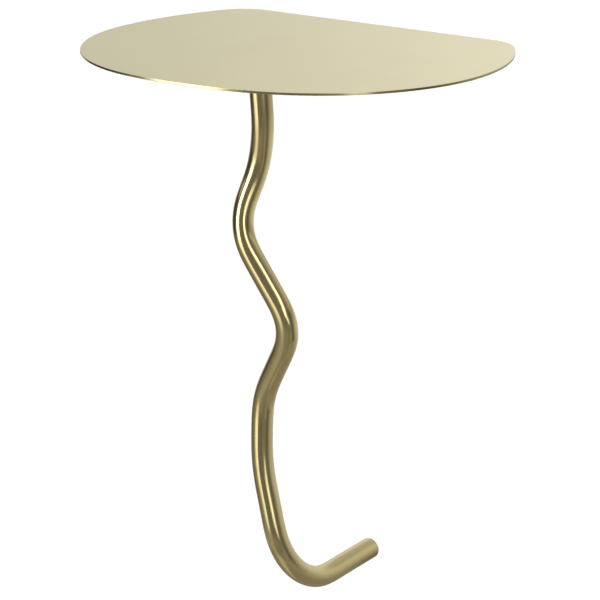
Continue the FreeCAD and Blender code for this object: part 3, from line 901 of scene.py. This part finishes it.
# %% Walls and ground
SIDE_WALL = 0.72
far_paint, azimuth, elevation = painted("far_paint")
walls = along(
    azimuth,
    (-180, 0.62), (-150, 0.75), (-118, 0.60), (-98, 0.12), (-82, 0.05), (-64, 0.08), (-52, 0.18),
    (-40, 0.26), (5, 0.20), (30, 0.19), (48, 0.25), (78, 0.20), (90, 0.17), (104, 0.28), (118, 0.34),
    (130, 0.44), (145, 0.55), (180, 0.62),
)
outer_ground = along(
    azimuth,
    (-180, 0.46), (-120, 0.42), (-95, 0.16), (-80, 0.20), (-62, 0.26), (-45, 0.36), (-20, 0.48), (5, 0.30),
    (28, 0.29), (38, 0.27), (46, 0.23), (54, 0.27), (66, 0.35), (80, 0.26), (100, 0.32), (120, 0.46),
    (180, 0.48),
)
middle_ground = along(azimuth, (-60, 0.40), (-20, 0.46), (-5, 0.42), (9, 0.27), (30, 0.27), (66, 0.34))
inner_ground = along(azimuth, (-40, 0.30), (-5, 0.60), (20, 0.58), (36, 0.40), (52, 0.29), (85, 0.30))
ground = faded(1 - rise(elevation, -67, -58), middle_ground, inner_ground)
ground = faded(1 - rise(elevation, -54, -38), outer_ground, ground)
ground_edge = along(azimuth, (-95, 0), (-80, 5), (-55, 5), (-40, 0))
on_ground = 1 - rise(elevation - ground_edge, -24, -13)
on_high_wall = rise(elevation, 0, 8) * window(azimuth, -174, -120, 3)
high_wall = along(azimuth, (-166, 1.20), (-156, 1.12), (-146, 0.95), (-136, 0.82), (-128, 0.78))
on_side_wall = window(elevation, 11, 22, 6) * window(azimuth, 98, 166, 14)
room = walls + on_ground * (ground - walls)
room = room + on_high_wall * (high_wall - walls) + on_side_wall * (SIDE_WALL - walls)
print("Walls and ground:", len(far_paint.node_tree.nodes), "nodes")

# %% [markdown]
# Soft boxes.
# Two lit boxes in front draw the bright streaks on the leg. Plain rectangles would draw them with the same
# width everywhere, but in the photo they widen, lean and fade. So the left box grows brighter upwards in
# steps and is widest where the leg's middle run looks, and the right box has a low part and a high part
# that leans outward.

# %% Soft boxes
left_light = 0.8 * rise(elevation, -30, -20)
left_light = left_light + rise(elevation, -18, -11) * (0.3 + 0.5 * rise(azimuth, -36, -22))
left_light = left_light + 1.4 * rise(elevation, -9, -4) + 1.8 * rise(elevation, -3, 4)
left_middle = along(elevation, (-24, -24), (-16, -25), (-11, -29), (0, -27))
left_side = along(elevation, (-20, -12), (-15, -18), (-11, -20), (-7, -13))
right_side = along(elevation, (-22, 13), (-15, 18), (-10, 18), (-6, 13))
left_box = window(azimuth - left_middle, left_side, right_side, 6) * left_light
low_right_light = 1.2 * rise(elevation, -9, -1) * (1 - rise(elevation, 3, 10))
low_right_box = window(azimuth, 51, 64, 4) * low_right_light
high_right_light = 2.5 * rise(elevation, -3, 12)
high_right_middle = along(elevation, (-2, 45), (4, 46), (12, 49), (22, 56), (28, 59), (34, 67))
high_right_box = window(azimuth - high_right_middle, -8, 8, 5) * high_right_light
lit_room = room + left_box + low_right_box + high_right_box
print("With soft boxes:", len(far_paint.node_tree.nodes), "nodes")

# %% [markdown]
# Far screen.
# The top looks at the upper part of the room and mirrors plain white there. The screen could end at that
# height, but the edge would show in the metal as a hard line. So the paint fades to white above a skyline,
# and the screen itself reaches well over it. Light from the ground is a little warmer than the rest.

# %% Far screen
FAR = 2.5
FAR_TOP = 2.6
INNER_EDGE = 0.01
OVER_FLOOR = 0.01
WHITE = (1.0, 1.0, 1.0)
WARM = (1.0, 0.96, 0.91)
skyline = along(
    azimuth,
    (-180, 40), (-174, 37), (-120, 37), (-110, 15), (-62, 15), (-52, 28), (0, 28), (10, 31), (40, 31),
    (48, 43), (150, 43), (180, 40),
)
over_skyline = rise(elevation - skyline, -4, 4)
glowing(faded(over_skyline, lit_room, 1.0), between(on_ground, WHITE, WARM))
every_side = range(-180, 181, 2)
screen("far_screen", far_paint, (
    [(angle, INNER_EDGE, FLOOR + OVER_FLOOR) for angle in every_side],
    [(angle, FAR, FLOOR + OVER_FLOOR) for angle in every_side],
    [(angle, FAR, FAR_TOP) for angle in every_side],
))

# %% [markdown]
# Apron.
# The right edge of the leg mirrors what stands close behind it, where a room's wall would be. The far screen
# can't show that nearness, because the stripe would stay the same from the hip to the heel. A low apron
# closer to the leg does, and it ends under the top's height, so the top doesn't mirror it.

# %% Apron
APRON = 0.75
APRON_TOP = -0.004
APRON_OVER_FLOOR = 0.02
apron_paint, azimuth, elevation = painted("apron_paint")
turn = azimuth + 360 * azimuth.math("LESS_THAN", azimuth, 0.0)
across_apron = along(
    turn,
    (82, 0.16), (92, 0.16), (102, 0.27), (112, 0.44), (126, 0.57), (150, 0.70), (180, 0.80), (210, 0.84),
    (240, 0.60), (250, 0.40),
)
up_apron = along(
    elevation,
    (-57, 0.50), (-42, 0.62), (-28, 0.86), (-18, 1.04), (-9, 1.04), (0, 0.94), (10, 0.70), (16, 0.68),
    (21, 0.85),
)
glowing(across_apron * up_apron, WHITE)
behind_leg = range(82, 251, 4)
screen("apron", apron_paint, (
    [(angle, APRON, FLOOR + APRON_OVER_FLOOR) for angle in behind_leg],
    [(angle, APRON, APRON_TOP) for angle in behind_leg],
))

# %% [markdown]
# Lamp.
# Only the floor is dull enough to need a lamp. An area lamp would light it more in the middle, so one wide
# sun far overhead lights all of it alike: the floor is as white as the backdrop, and the table's shadow lies
# on it with soft edges. Mirrors see the painted boxes instead.

# %% Lamp
LAMP_STRENGTH = 1.7
LAMP_WIDTH = 40
LAMP_TILT = (-16, -10, 0)
lamp = bpy.data.lights.new("overhead_lamp", "SUN")
lamp.energy = LAMP_STRENGTH
lamp.angle = math.radians(LAMP_WIDTH)
overhead = bpy.data.objects.new("overhead_lamp", lamp)
overhead.rotation_euler = [math.radians(angle) for angle in LAMP_TILT]
overhead.visible_glossy = False
bpy.context.collection.objects.link(overhead)
print("Overhead lamp of", LAMP_STRENGTH, "W per square metre")

# %% [markdown]
# Camera.
# The photo was taken from the front right and above, with a long lens. The camera could be set by eye, but
# its angles, its place and its lens were worked out from the top's outline and the foot's direction, so the
# outlines in the render fall where they are in the photo.

# %% Camera
LENS_MM = 138.0
SENSOR_MM = 36.0
FARTHEST = 100.0
CAMERA_PLACE = (1.50724, -2.29977, 0.55171)
LOOK_DOWN = 17.7344
LOOK_LEFT = 35.2295
lens = bpy.data.cameras.new("camera")
lens.lens = LENS_MM
lens.sensor_width = SENSOR_MM
lens.clip_end = FARTHEST
camera = bpy.data.objects.new("camera", lens)
camera.location = CAMERA_PLACE
camera.rotation_euler = (math.radians(90 - LOOK_DOWN), 0, math.radians(LOOK_LEFT))
bpy.context.collection.objects.link(camera)
scene.camera = camera
print("Camera", [round(number, 3) for number in camera.location])
